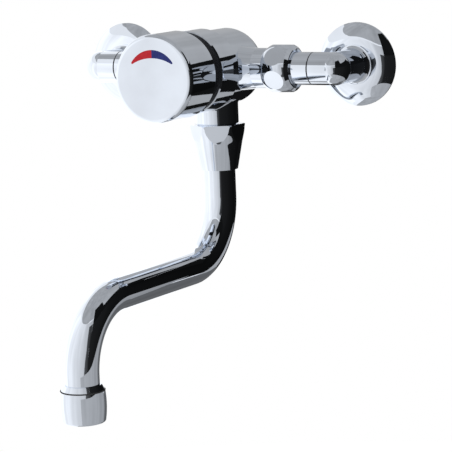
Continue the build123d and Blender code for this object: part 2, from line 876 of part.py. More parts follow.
def two_arcs(start, end, start_tangent, end_tangent):
    """Two arcs that join two points and keep both tangents."""
    span = end - start
    tangents = start_tangent + end_tangent
    turn = 2 * (1 - start_tangent.dot(end_tangent))
    reach = (sqrt(span.dot(tangents) ** 2 + turn * span.dot(span)) - span.dot(tangents)) / turn
    middle = (start + end + (start_tangent - end_tangent) * reach) * 0.5
    first = TangentArc(start, middle, tangent=start_tangent)
    return first + TangentArc(middle, end, tangent=first % 1)


def make_return_spring():
    """Helical return spring between the gland and the knob."""
    height = knob_inside - snout_front
    pieces = int(2 * spring_turns)
    path = None
    for index in range(pieces):
        turns = index / 2
        piece = two_arcs(
            spring_point(turns, height),
            spring_point(turns + 0.5, height),
            spring_tangent(turns, height),
            spring_tangent(turns + 0.5, height),
        )
        path = piece if path is None else path + piece
    section = Plane(origin=path @ 0, z_dir=path % 0) * RegularPolygon(spring_wire_r, wire_sides)
    return Pos(0, 0, snout_front) * sweep(section, path=path)


def cone_r(height):
    """Radius of the spout nut's taper at one height."""
    slope = (spout_nut_top_r - spout_nut_bottom_r) / spout_nut_height
    return spout_nut_top_r + (height - spout_nut_top) * slope


def make_spout_nut():
    """Tapered spout nut; its six flats run out on the taper."""
    bottom = spout_nut_top - spout_nut_height
    nut = lathe([
        (0, bottom),
        (spout_nut_bottom_r, bottom),
        (cone_r(spout_nut_top - spout_nut_lip), spout_nut_top - spout_nut_lip),
        (cone_r(spout_nut_top) - spout_nut_lip, spout_nut_top),
        (0, spout_nut_top),
    ])
    nut &= hexagon(spout_nut_flats, bottom, spout_nut_top, spout_nut_turn)
    nut -= disc(spout_thread_r + thread_gap, nut_shoulder, spout_nut_top)
    return nut - disc(pipe_r + 2 * running_gap, bottom, nut_shoulder)


def make_slide_ring(top):
    """Flat plastic ring on which the spout's collar turns."""
    bottom = top - slide_ring_thickness
    return ring(pipe_r + slide_ring_gap, spout_thread_r - slide_ring_gap, bottom, top)


def make_spout_collar():
    """Collar brazed into the spout's end: a flange between the slide rings and a sealed spigot."""
    spigot = spigot_socket_r - running_gap
    collar = lathe([
        (collar_bore_r, flange_bottom - collar_tail_length),
        (pipe_r - tube_wall, flange_bottom - collar_tail_length),
        (pipe_r - tube_wall, flange_bottom + running_gap),
        (spout_thread_r - loose_gap, flange_bottom + running_gap),
        (spout_thread_r - loose_gap, flange_top - running_gap),
        (spigot, flange_top - running_gap),
        (spigot, spigot_top),
        (collar_bore_r, spigot_top),
    ])
    half = ring_section_r + running_gap
    for height in spout_seal_heights():
        collar -= ring(spigot - 2 * ring_section_r, spigot_socket_r, height - half, height + half)
    return collar


def spout_seal_heights():
    """Heights of the two seals on the spout's spigot."""
    upper = spigot_top - spout_seal_setback
    return [upper, upper - spout_seal_pitch]


def make_spout_seals():
    """Two rubber rings that seal the spout in the body."""
    centre_r = spigot_socket_r - running_gap - ring_section_r
    return [o_ring(centre_r, ring_section_r, height) for height in spout_seal_heights()]


def make_spout_tube():
    """Bent spout tube: down, forwards and down again, with two equal quarter bends."""
    top = (0, -axis_from_wall, flange_bottom + running_gap)
    run_height = upper_bend_top - bend_radius
    upper_start = (0, -axis_from_wall, upper_bend_top)
    upper_end = (0, -axis_from_wall - bend_radius, run_height)
    lower_start = (0, nozzle_y + bend_radius, run_height)
    lower_end = (0, nozzle_y, run_height - bend_radius)
    path = Line(top, upper_start)
    path += TangentArc(upper_start, upper_end, tangent=(0, 0, -1))
    path += Line(upper_end, lower_start)
    path += TangentArc(lower_start, lower_end, tangent=(0, -1, 0))
    path += Line(lower_end, (0, nozzle_y, lower_leg_end))
    section = Plane(origin=top, z_dir=(0, 0, -1)) * (Circle(pipe_r) - Circle(pipe_r - tube_wall))
    return sweep(section, path=path)


def make_nozzle_ferrule():
    """Ferrule brazed on the tube's end: a cone, and a male thread for the nozzle."""
    return lathe([
        (pipe_r, ferrule_top),
        (ferrule_top_r, ferrule_top),
        (ferrule_end_r, ferrule_shoulder + ferrule_rim),
        (ferrule_end_r, ferrule_shoulder),
        (ferrule_thread_r, ferrule_shoulder),
        (ferrule_thread_r, ferrule_bottom),
        (pipe_r - tube_wall, ferrule_bottom),
        (pipe_r - tube_wall, lower_leg_end),
        (pipe_r, lower_leg_end),
    ])


def make_nozzle():
    """Nozzle shell, slightly barrelled, with a lip that holds the flow straightener."""
    seat = nozzle_bottom + nozzle_lip
    bore_r = nozzle_mouth_r + straightener_wall
    side = ThreePointArc(
        (nozzle_rim_r, ferrule_shoulder),
        (nozzle_r, (ferrule_shoulder + nozzle_bottom) / 2 - nozzle_belly_drop),
        (nozzle_end_r, nozzle_bottom),
    )
    thread_end = lower_leg_end - nozzle_thread_over
    inside = Polyline(
        (nozzle_end_r, nozzle_bottom),
        (nozzle_mouth_r, nozzle_bottom),
        (nozzle_mouth_r, seat),
        (bore_r, seat),
        (bore_r, thread_end),
        (ferrule_thread_r + thread_gap, thread_end),
        (ferrule_thread_r + thread_gap, ferrule_shoulder),
        (nozzle_rim_r, ferrule_shoulder),
    )
    shell = revolve(make_face(Plane.XZ * (side + inside)), Axis.Z)
    return fillet(rims(shell, nozzle_end_r, nozzle_bottom), nozzle_round)


def make_flow_straightener():
    """Plastic grid that evens out the stream."""
    bottom = nozzle_bottom + nozzle_lip
    top = bottom + straightener_height
    outer_r = nozzle_mouth_r + straightener_wall - running_gap
    inner_r = nozzle_mouth_r - straightener_rim
    grid = ring(inner_r, outer_r, bottom, top)
    ribs = int(inner_r / straightener_pitch)
    for index in range(-ribs, ribs + 1):
        offset = index * straightener_pitch
        length = 2 * (sqrt(inner_r**2 - offset**2) + straightener_rim)
        middle = (bottom + top) / 2
        grid += Pos(offset, 0, middle) * Box(straightener_rib, length, straightener_height)
        grid += Pos(0, offset, middle) * Box(length, straightener_rib, straightener_height)
    return grid


def make_nozzle_washer():
    """Rubber washer between the ferrule and the flow straightener."""
    bottom = nozzle_bottom + nozzle_lip + straightener_height
    outer_r = nozzle_mouth_r + straightener_wall - running_gap
    return ring(pipe_r - tube_wall, outer_r, bottom, bottom + nozzle_washer_thickness)


def save(name, shape):
    """Write one named piece, or a group of like pieces, to its own file."""
    piece = Compound(children=shape) if isinstance(shape, list) else shape
    export_step(piece, "parts/" + name + ".step")


def save_both_sides(name, piece):
    """Write a piece of the right-hand inlet and its mirror image on the left."""
    save(name + "_right", piece)
    save(name + "_left", mirror(piece, about=Plane.YZ))


# Pieces of the two inlets
save_both_sides("wall_flange", make_wall_flange())
save_both_sides("elbow", make_elbow())
save_both_sides("inlet_sleeve", right_inlet_frame * make_inlet_sleeve())
save_both_sides("check_valve", right_inlet_frame * make_check_valve())
save_both_sides("filter_washer", right_inlet_frame * make_filter_washer())
save_both_sides("union_nut", right_inlet_frame * make_union_nut())

# Body and fixed pieces of the cartridge
save("body", make_body())
save("port_gasket", knob_frame * make_port_gasket())
save("cartridge_base", knob_frame * make_cartridge_base())
save("fixed_disc", knob_frame * make_fixed_disc())
save("cartridge_housing", knob_frame * make_cartridge_housing())
save("housing_seal", knob_frame * make_housing_seal())
save("thrust_ring", knob_frame * make_thrust_ring())
save("gland_bush", knob_frame * make_gland_bush())
save("gland_seal", knob_frame * make_gland_seal())
save("retaining_ring", knob_frame * make_retaining_ring())
save("guide_sleeve", knob_frame * make_guide_sleeve())

# Pieces that turn with the knob
save("mixing_disc", knob_frame * make_mixing_disc())
save("drive_carrier", knob_frame * make_drive_carrier())
save("carrier_seal", knob_frame * make_carrier_seal())

# Pieces that turn and travel with the knob
save("stem", knob_frame * make_stem())
save("valve_washer", knob_frame * make_valve_washer())
save("piston", knob_frame * make_piston())
save("piston_nut", knob_frame * make_piston_nut())
save("timing_cup", knob_frame * make_timing_cup())
save("cup_spacer", knob_frame * make_cup_spacer())
save("cup_clip", knob_frame * make_cup_clip())
save("knob", knob_frame * make_knob())
save("knob_screw", knob_frame * make_knob_screw())
save("hot_mark", knob_frame * make_mark(-1))
save("cold_mark", knob_frame * make_mark(1))
save("return_spring", knob_frame * make_return_spring())

# Spout joint
save("spout_nut", spout_frame * make_spout_nut())
save("upper_slide_ring", spout_frame * make_slide_ring(neck_end))
save("lower_slide_ring", spout_frame * make_slide_ring(flange_bottom))

# Pieces that swivel with the spout
nozzle_frame = Plane(origin=(0, nozzle_y, 0), x_dir=(1, 0, 0), z_dir=(0, 0, 1))
save("spout_collar", spout_frame * make_spout_collar())
save("spout_seals", [spout_frame * seal for seal in make_spout_seals()])
save("spout_tube", make_spout_tube())
save("nozzle_ferrule", nozzle_frame * make_nozzle_ferrule())
save("nozzle_washer", nozzle_frame * make_nozzle_washer())
save("flow_straightener", nozzle_frame * make_flow_straightener())
save("nozzle", nozzle_frame * make_nozzle())
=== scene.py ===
"""Finishes, nuts, threads, spring, studio and camera of the wall-mounted push-and-turn mixer tap.

Sizes are in metres, in the frame of the CAD model.
"""

import json
import logging
import math
from collections.abc import Iterable, Mapping, Sequence
from dataclasses import dataclass, field
from enum import Enum
from functools import reduce
from operator import or_
from typing import Any, ClassVar, Union

import bmesh
import bpy
from mathutils import Color, Matrix, Vector

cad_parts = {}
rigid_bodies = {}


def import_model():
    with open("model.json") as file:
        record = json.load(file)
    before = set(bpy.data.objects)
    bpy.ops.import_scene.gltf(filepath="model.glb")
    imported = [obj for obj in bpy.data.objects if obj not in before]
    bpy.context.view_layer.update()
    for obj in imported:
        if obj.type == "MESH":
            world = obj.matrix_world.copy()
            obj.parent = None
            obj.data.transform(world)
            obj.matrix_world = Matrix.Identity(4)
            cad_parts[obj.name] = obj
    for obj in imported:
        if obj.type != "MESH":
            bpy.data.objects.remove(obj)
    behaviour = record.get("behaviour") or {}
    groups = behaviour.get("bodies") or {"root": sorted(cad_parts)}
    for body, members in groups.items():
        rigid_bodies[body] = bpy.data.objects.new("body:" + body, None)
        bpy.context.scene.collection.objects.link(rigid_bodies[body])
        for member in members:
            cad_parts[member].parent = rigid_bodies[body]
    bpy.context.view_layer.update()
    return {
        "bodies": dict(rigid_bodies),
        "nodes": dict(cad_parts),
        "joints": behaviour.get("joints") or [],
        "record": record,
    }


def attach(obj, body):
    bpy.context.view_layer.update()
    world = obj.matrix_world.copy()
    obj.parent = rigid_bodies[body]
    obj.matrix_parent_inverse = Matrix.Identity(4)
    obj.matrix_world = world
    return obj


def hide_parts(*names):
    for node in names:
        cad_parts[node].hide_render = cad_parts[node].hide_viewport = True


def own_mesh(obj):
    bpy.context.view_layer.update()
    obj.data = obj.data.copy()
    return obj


log = logging.getLogger("tap")

Colour = tuple[float, float, float]
Place = tuple[float, float, float]
Span = tuple[float, float]
Number = Union[float, "Value"]
Finish = Union["Chrome", "Metal", "Moulded", "Enamel"]

MM = 0.001
FULL_BYTE = 255
ALONG_X: Place = (1.0, 0.0, 0.0)
UP: Place = (0.0, 0.0, 1.0)
ROOT_BODY = "fixed_frame"
SPOUT_BODY = "spout"
# Finish of the dark rubber rings that paint the shade in joints.
SHADE_RING_SLOT = "rubber"
LEVEL_LAYER = "level"


def srgb(red: int, green: int, blue: int) -> Colour:
    """Linear colour that shaders take, for a display colour of 0 to 255."""
    shown = Color((red / FULL_BYTE, green / FULL_BYTE, blue / FULL_BYTE))
    return tuple(shown.from_srgb_to_scene_linear())


class Side(Enum):
    """The two inlets, with the direction of each along X."""

    LEFT = -1
    RIGHT = 1

    @property
    def word(self) -> str:
        """The side's word in node names."""
        return self.name.lower()


class Grain(Enum):
    """How the fine marks of a finish run."""

    EVEN = "even"
    TURNED = "turned"


class Detail(Enum):
    """How many finer layers lie in a noise."""

    PLAIN = 1.0
    SOFT = 2.0
    FULL = 3.0


class Value:
    """A number socket whose arithmetic adds Math nodes."""

    def __init__(self, tree: "NodeTree", socket: bpy.types.NodeSocket) -> None:
        """Wrap an output socket of a node tree."""
        self.tree = tree
        self.socket = socket

    def _maths(self, operation: str, *terms: Number) -> "Value":
        """Add one Math node.

        Args:
            operation: The node's operation.
            terms: Its terms, numbers or Values.

        Returns:
            The result.
        """
        settings = {"operation": operation}
        node = self.tree.node("ShaderNodeMath", settings, dict(enumerate(terms)))
        return Value(self.tree, node.outputs[0])

    def __add__(self, other: Number) -> "Value":
        """Sum."""
        return self._maths("ADD", self, other)

    __radd__ = __add__

    def __mul__(self, other: Number) -> "Value":
        """Product."""
        return self._maths("MULTIPLY", self, other)

    __rmul__ = __mul__

    def __or__(self, other: Number) -> "Value":
        """The larger of two values, so that masks join."""
        return self._maths("MAXIMUM", self, other)

    __ror__ = __or__


class NodeTree:
    """A node tree whose nodes all come from one method."""

    def __init__(self, owner: bpy.types.Material | bpy.types.World) -> None:
        """Start an empty tree.

        Args:
            owner: The material or world that the tree belongs to.
        """
        owner.use_nodes = True
        self.nodes = owner.node_tree.nodes
        self.links = owner.node_tree.links
        self.nodes.clear()

    def node(
        self,
        kind: str,
        settings: Mapping[str, Any] | None = None,
        inputs: Mapping[str | int, Any] | None = None,
    ) -> bpy.types.Node:
        """Add a node.

        Args:
            kind: The node's type.
            settings: The node's own settings, set before its sockets. `stops` is a ramp's list.
            inputs: Values or links of its sockets, by name or number.

        Returns:
            The node.
        """
        made = self.nodes.new(kind)
        for name, value in (settings or {}).items():
            if name == "stops":
                self._set_stops(made.color_ramp, value)
            else:
                setattr(made, name, value)
        for name, value in (inputs or {}).items():
            self.feed(made.inputs[name], value)
        return made

    @staticmethod
    def _set_stops(ramp: bpy.types.ColorRamp, stops: Sequence[Span]) -> None:
        """Give a ramp its two grey stops.

        Args:
            ramp: The ramp.
            stops: The place and the level of each stop.
        """
        for element, (place, level) in zip(ramp.elements, stops):
            element.position = place
            element.color = (level, level, level, 1.0)

    def feed(self, socket: bpy.types.NodeSocket, value: Any) -> None:
        """Set a socket or link it.

        Args:
            socket: The input socket.
            value: A number, a colour, an output socket or a Value.
        """
        source = value.socket if isinstance(value, Value) else value
        if isinstance(source, bpy.types.NodeSocket):
            self.links.new(source, socket)
        elif isinstance(value, tuple) and socket.type == "RGBA":
            socket.default_value = (*value, 1.0)
        else:
            socket.default_value = value

    def light_path(self, *kinds: str) -> Value:
        """Mask that is 1 for some kinds of rays, such as Is Camera Ray, and 0 for all others."""
        path = self.node("ShaderNodeLightPath")
        return reduce(or_, [Value(self, path.outputs[kind]) for kind in kinds])


class Shader(NodeTree):
    """Node tree of one material."""

    def __init__(self, name: str) -> None:
        """Start an empty material of a name."""
        self.material = bpy.data.materials.new(name)
        super().__init__(self.material)

    def place(self) -> bpy.types.NodeSocket:
        """Position on the piece, in its own coordinates."""
        return self.node("ShaderNodeTexCoord").outputs["Object"]

    def noise(
        self, size: float, detail: Detail = Detail.FULL, stretch: Place | None = None
    ) -> Value:
        """Noise over the piece.

        Args:
            size: Size of a patch in metres.
            detail: How many finer layers lie in it.
            stretch: Scale of the pattern along the axes, if it isn't even.

        Returns:
            The noise, about 0.5 on average.
        """
        place = self.place()
        if stretch is not None:
            scaled = self.node("ShaderNodeMapping", inputs={"Vector": place, "Scale": stretch})
            place = scaled.outputs["Vector"]
        inputs = {"Vector": place, "Scale": 1 / size, "Detail": detail.value}
        return Value(self, self.node("ShaderNodeTexNoise", inputs=inputs).outputs["Fac"])

    def ramp(self, value: Value, low: float, high: float) -> Value:
        """A value that rises from 0 to 1 between two levels."""
        node = self.node("ShaderNodeValToRGB", {"stops": [(low, 0.0), (high, 1.0)]}, {"Fac": value})
        return Value(self, node.outputs["Color"])

    def blend(self, first: Colour, second: Colour, share: Value) -> bpy.types.NodeSocket:
        """Mix two colours.

        Args:
            first: Colour where the share is 0.
            second: Colour where the share is 1.
            share: The share of the second colour.

        Returns:
            The mixed colour.
        """
        inputs = {"Factor": share, "A": first, "B": second}
        mix = self.node("ShaderNodeMix", {"data_type": "RGBA"})
        wanted = {"Factor": "VALUE", "A": "RGBA", "B": "RGBA"}
        for socket in mix.inputs:
            if wanted.get(socket.name) == socket.type:
                self.feed(socket, inputs[socket.name])
        return next(socket for socket in mix.outputs if socket.type == "RGBA")

    def bump(self, height: Value, depth: float) -> bpy.types.NodeSocket:
        """Normal of a fine relief, from its height of 0 to 1 and its depth in metres."""
        inputs = {"Height": height, "Distance": depth, "Strength": 1.0}
        return self.node("ShaderNodeBump", inputs=inputs).outputs["Normal"]

    def surface(self, made: bpy.types.Node) -> bpy.types.Material:
        """Show a shader node on the surface and give back the material."""
        self.node("ShaderNodeOutputMaterial", inputs={"Surface": made.outputs[0]})
        return self.material

    def finish(self, **sockets: Any) -> bpy.types.Material:
        """End the tree in a Principled shader, whose sockets are named with _ for a space."""
        inputs = {name.replace("_", " "): value for name, value in sockets.items()}
        return self.surface(self.node("ShaderNodeBsdfPrincipled", inputs=inputs))


@dataclass(frozen=True)
class Chrome:
    """Polished chrome plating on brass, with a faint bluish cast."""

    name: str = "chrome"
    colour: Colour = (0.75, 0.80, 0.88)
    hazed: Colour = (0.72, 0.765, 0.84)
    polish: float = 0.02
    haze: float = 0.05
    patch_size: float = 14 * MM
    patch_edges: Span = (0.42, 0.68)
    ripple_size: float = 9 * MM
    ripple_depth: float = 0.02 * MM
    wiping_size: float = 0.35 * MM
    wiping_depth: float = 0.0008 * MM
    wiping_run: Place = (1.0, 0.12, 1.0)

    def material(self) -> bpy.types.Material:
        """Build the finish.

        Returns:
            Chrome with haze in patches, faint ripples of the casting and fine wiping marks.
        """
        shader = Shader(self.name)
        patches = shader.ramp(shader.noise(self.patch_size), *self.patch_edges)
        wiping = shader.noise(self.wiping_size, Detail.SOFT, self.wiping_run)
        ripple = shader.noise(self.ripple_size, Detail.PLAIN)
        relief = ripple * (self.ripple_depth / self.wiping_depth) + wiping
        return shader.finish(
            Base_Color=shader.blend(self.colour, self.hazed, patches),
            Metallic=1.0,
            Roughness=self.polish + self.haze * patches * wiping,
            Normal=shader.bump(relief, self.wiping_depth),
        )


@dataclass(frozen=True)
class Metal:
    """Bare metal as it leaves the lathe or the press."""

    name: str
    colour: Colour
    dulled: Colour
    roughness: float = 0.28
    spread: float = 0.16
    grain: Grain = Grain.TURNED
    turned_run: Place = (1.0, 6.0, 1.0)
    patch_size: float = 5 * MM
    patch_edges: Span = (0.35, 0.7)
    line_size: float = 0.28 * MM
    line_depth: float = 0.006 * MM
    patch_share: float = 0.6

    def material(self) -> bpy.types.Material:
        """Build the finish.

        Returns:
            Metal with dull patches and the fine lines of the tool.
        """
        shader = Shader(self.name)
        patches = shader.ramp(shader.noise(self.patch_size), *self.patch_edges)
        run = self.turned_run if self.grain is Grain.TURNED else None
        lines = shader.noise(self.line_size, stretch=run)
        dullness = patches * self.patch_share + lines * (1 - self.patch_share)
        return shader.finish(
            Base_Color=shader.blend(self.colour, self.dulled, patches),
            Metallic=1.0,
            Roughness=self.roughness + self.spread * dullness,
            Normal=shader.bump(lines, self.line_depth),
        )


@dataclass(frozen=True)
class Moulded:
    """Moulded plastic, rubber or fired ceramic."""

    name: str
    colour: Colour
    worn: Colour
    roughness: float
    spread: float = 0.06
    gloss: float = 0.5
    cloud_size: float = 4 * MM
    cloud_edges: Span = (0.3, 0.75)
    grain_size: float = 0.25 * MM
    grain_depth: float = 0.01 * MM

    def material(self) -> bpy.types.Material:
        """Build the finish.

        Returns:
            A slightly clouded material with the fine grain of the mould.
        """
        shader = Shader(self.name)
        clouds = shader.ramp(shader.noise(self.cloud_size), *self.cloud_edges)
        grain = shader.noise(self.grain_size, Detail.SOFT)
        return shader.finish(
            Base_Color=shader.blend(self.colour, self.worn, clouds),
            Roughness=self.roughness + self.spread * (grain + clouds),
            Specular_IOR_Level=self.gloss,
            Normal=shader.bump(grain, self.grain_depth),
        )


@dataclass(frozen=True)
class Enamel:
    """Enamel paint in the knob's shallow recess."""

    name: str
    colour: Colour
    thin: Colour
    roughness: float = 0.24
    spread: float = 0.12
    gloss: float = 0.22
    coat: float = 0.12
    coat_roughness: float = 0.1
    pool_size: float = 2.2 * MM
    pool_edges: Span = (0.4, 0.8)
    peel_size: float = 0.5 * MM
    peel_depth: float = 0.004 * MM

    def material(self) -> bpy.types.Material:
        """Build the finish.

        Returns:
            Paint that lies a little thinner in places, under a clear gloss.
        """
        shader = Shader(self.name)
        pooling = shader.ramp(shader.noise(self.pool_size), *self.pool_edges)
        peel = shader.noise(self.peel_size, Detail.SOFT)
        return shader.finish(
            Base_Color=shader.blend(self.colour, self.thin, pooling),
            Roughness=self.roughness + self.spread * peel,
            Specular_IOR_Level=self.gloss,
            Coat_Weight=self.coat,
            Coat_Roughness=self.coat_roughness,
            Normal=shader.bump(peel, self.peel_depth),
        )


class Palette:
    """The finish of each material slot of the record, each made once."""

    FINISHES: ClassVar[tuple[Finish, ...]] = (
        Chrome(),
        Metal("brass", srgb(221, 188, 124), srgb(188, 156, 98)),
        Metal("steel", srgb(198, 198, 196), srgb(174, 174, 174), grain=Grain.EVEN),
        Moulded("rubber", srgb(28, 28, 29), srgb(48, 48, 48), 0.62, 0.1),
        Moulded("white_plastic", srgb(222, 222, 216), srgb(211, 211, 205), 0.34),
        Moulded("grey_plastic", srgb(134, 136, 139), srgb(118, 121, 124), 0.36),
        Moulded("dark_plastic", srgb(14, 15, 20), srgb(22, 23, 28), 0.42, gloss=0.1),
        Moulded("ceramic", srgb(232, 229, 222), srgb(222, 219, 212), 0.12, 0.03),
        Enamel("hot_red", srgb(184, 22, 36), srgb(196, 40, 50)),
        Enamel("cold_blue", srgb(26, 36, 104), srgb(36, 50, 122)),
    )

    def __init__(self) -> None:
        """Start with no material made."""
        self.made: dict[str, bpy.types.Material] = {}

    def material(self, slot: str) -> bpy.types.Material:
        """The material of a slot.

        Args:
            slot: The record's slot name.

        Returns:
            The material, which is made at its first use.
        """
        if slot not in self.made:
            finish = next(finish for finish in self.FINISHES if finish.name == slot)
            self.made[slot] = finish.material()
        return self.made[slot]

    def dress(self, piece: bpy.types.Object, slot: str) -> None:
        """Give every material place of a piece one finish.

        Args:
            piece: A mesh object.
            slot: The record's slot name.
        """
        material = self.material(slot)
        if not piece.material_slots:
            piece.data.materials.append(material)
        for place in piece.material_slots:
            place.material = material


@dataclass
class Assembly:
    """A sub-assembly of the tap: nodes of the CAD model under their finishes, and added pieces."""

    NODES: ClassVar[tuple[str, ...]] = ()

    frame: Mapping[str, Any]
    palette: Palette

    def node_names(self) -> Iterable[str]:
        """Names of the nodes in this sub-assembly."""
        return self.NODES

    def slot_of(self, name: str) -> str:
        """The record's material slot of a node."""
        return self.frame["nodes"][name].material_slots[0].name.split(".")[0]

    def dress_nodes(self) -> list[bpy.types.Object]:
        """Give each node of the sub-assembly its finish.

        Returns:
            The nodes' objects.
        """
        nodes = []
        for name in self.node_names():
            nodes.append(self.frame["nodes"][name])
            self.palette.dress(nodes[-1], self.slot_of(name))
        return nodes

    def add_piece(
        self, name: str, mesh: bpy.types.Mesh, slot: str, body: str = ROOT_BODY
    ) -> bpy.types.Object:
        """Make an object of a mesh, dress it and let it ride on a body.

        Args:
            name: The piece's name.
            mesh: Its mesh, in the shared frame.
            slot: The record's slot name.
            body: The body that it moves with.

        Returns:
            The piece.
        """
        piece = bpy.data.objects.new(name, mesh)
        bpy.context.scene.collection.objects.link(piece)
        self.palette.dress(piece, slot)
        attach(piece, body)
        return piece

    def build_pieces(self) -> list[bpy.types.Object]:
        """Build the pieces that the sub-assembly adds to its nodes."""
        return []

    def build(self) -> list[bpy.types.Object]:
        """Dress the nodes, build what is added to them and give back both."""
        return self.dress_nodes() + self.build_pieces()


def rounded(share: float) -> float:
    """A share of 0 to 1 that starts and ends gently."""
    return share * share * (3.0 - 2.0 * share)


def grid_mesh(name: str, rows: Sequence[Sequence[Vector]], wrap: bool = False) -> bpy.types.Mesh:
    """Join rows of points round an axis into a smooth surface.

    Args:
        name: The mesh's name.
        rows: Rings of points, all of one length.
        wrap: Whether the last ring joins the first.

    Returns:
        The mesh.
    """
    across = len(rows[0])
    pairs = range(len(rows) if wrap else len(rows) - 1)
    faces = []
    for row in pairs:
        after = (row + 1) % len(rows)
        for step in range(across):
            beside = (step + 1) % across
            faces.append((row * across + step, after * across + step,
                          after * across + beside, row * across + beside))
    mesh = bpy.data.meshes.new(name)
    mesh.from_pydata([point for row in rows for point in row], [], faces)
    mesh.shade_smooth()
    return mesh


@dataclass(frozen=True)
class PaintedShadeRing:
    """Round dark rubber ring laid in a joint's gap as painted shade, which shows as a dark line."""

    centre: Place
    axis: Place
    radius: float
    section_r: float
    sides: int = 12
    steps: int = 96

    def mesh(self, name: str) -> bpy.types.Mesh:
        """Mesh of the ring.

        Args:
            name: The mesh's name.

        Returns:
            The mesh.
        """
        axis = Vector(self.axis)
        across = axis.orthogonal().normalized()
        along = axis.cross(across)
        angles = [math.tau * step / self.steps for step in range(self.steps)]
        outs = [across * math.cos(angle) + along * math.sin(angle) for angle in angles]
        rings = []
        for side in range(self.sides):
            turn = math.tau * side / self.sides
            reach = self.radius + self.section_r * math.cos(turn)
            level = Vector(self.centre) + axis * self.section_r * math.sin(turn)
            rings.append([level + reach * out for out in outs])
        return grid_mesh(name, rings, wrap=True)


@dataclass(frozen=True)
class TurnedNut:
    """A nut that is turned round its axis and then gets its flats. Angles are in degrees."""

    half_flats: float
    first_flat: float
    steps: int
    sharp_angle: float
    axis_from_wall: float = 28.5 * MM
    flats: int = 6

    @property
    def middle(self) -> Place:
        """Point of the axis at the foot of the outline's places."""
        return 0.0, -self.axis_from_wall, 0.0

    @property
    def axis(self) -> Place:
        """Direction of the nut's axis."""
        return UP

    def out(self, angle: float) -> Place:
        """Direction away from the axis, at an angle in radians."""
        return math.cos(angle), math.sin(angle), 0.0

    def outline(self) -> list[Span]:
        """The nut's closed section, as places along the axis and radii."""
        raise NotImplementedError

    def turn(self, name: str) -> bpy.types.Mesh:
        """Turn the section round the axis.

        Args:
            name: The mesh's name.

        Returns:
            The nut without its flats.
        """
        outs = [self.out(math.tau * step / self.steps) for step in range(self.steps)]
        rings = []
        for along, radius in self.outline():
            foot = [start + part * along for start, part in zip(self.middle, self.axis)]
            rings.append([Vector([f + o * radius for f, o in zip(foot, out)]) for out in outs])
        return grid_mesh(name, rings, wrap=True)

    def mesh(self, name: str) -> bpy.types.Mesh:
        """Turn the section, then cut the flats.

        Args:
            name: The mesh's name.

        Returns:
            The nut's mesh.
        """
        nut = self.turn(name)
        work = bmesh.new()
        work.from_mesh(nut)
        for flat in range(self.flats):
            angle = math.radians(self.first_flat) + math.tau * flat / self.flats
            out = Vector(self.out(angle))
            cut = bmesh.ops.bisect_plane(
                work,
                geom=work.verts[:] + work.edges[:] + work.faces[:],
                plane_co=Vector(self.middle) + out * self.half_flats,
                plane_no=out,
                clear_outer=True,
            )
            rim = [part for part in cut["geom_cut"] if isinstance(part, bmesh.types.BMEdge)]
            bmesh.ops.contextual_create(work, geom=rim)
        bmesh.ops.recalc_face_normals(work, faces=work.faces[:])
        work.to_mesh(nut)
        work.free()
        nut.set_sharp_from_angle(angle=math.radians(self.sharp_angle))
        return nut


@dataclass(frozen=True)
class UnionNut(TurnedNut):
    """Ball-turned nut along X, whose flats come out as circles, with a cone at its outer end."""

    side: Side = Side.RIGHT
    start: float = 34.8 * MM
    end: float = 51.6 * MM
    ball_r: float = 14.25 * MM
    ball_x: float = 43.2 * MM
    ball_end: float = 49.8 * MM
    cone_end: float = 51.4 * MM
    cone_end_r: float = 10.9 * MM
    end_r: float = 10.5 * MM
    thread_r: float = 11.25 * MM
    thread_end: float = 47.6 * MM
    hole_r: float = 9.15 * MM
    half_flats: float = 13.0 * MM
    first_flat: float = 25.0
    ball_rows: int = 28
    steps: int = 120
    sharp_angle: float = 12.0

    @property
    def axis(self) -> Place:
        """Direction of the nut's axis, away from the body."""
        return float(self.side.value), 0.0, 0.0

    def out(self, angle: float) -> Place:
        """Direction away from the axis, at an angle in radians."""
        return 0.0, math.cos(angle), math.sin(angle)

    def outline(self) -> list[Span]:
        """The nut's closed section.

        Returns:
            Places along the axis and radii.
        """
        points = [(self.thread_end, self.thread_r), (self.start, self.thread_r)]
        for row in range(self.ball_rows + 1):
            along = self.start + (self.ball_end - self.start) * row / self.ball_rows
            points.append((along, math.sqrt(self.ball_r**2 - (along - self.ball_x) ** 2)))
        end = [(self.cone_end, self.cone_end_r), (self.end, self.end_r), (self.end, self.hole_r)]
        return points + end + [(self.thread_end, self.hole_r)]


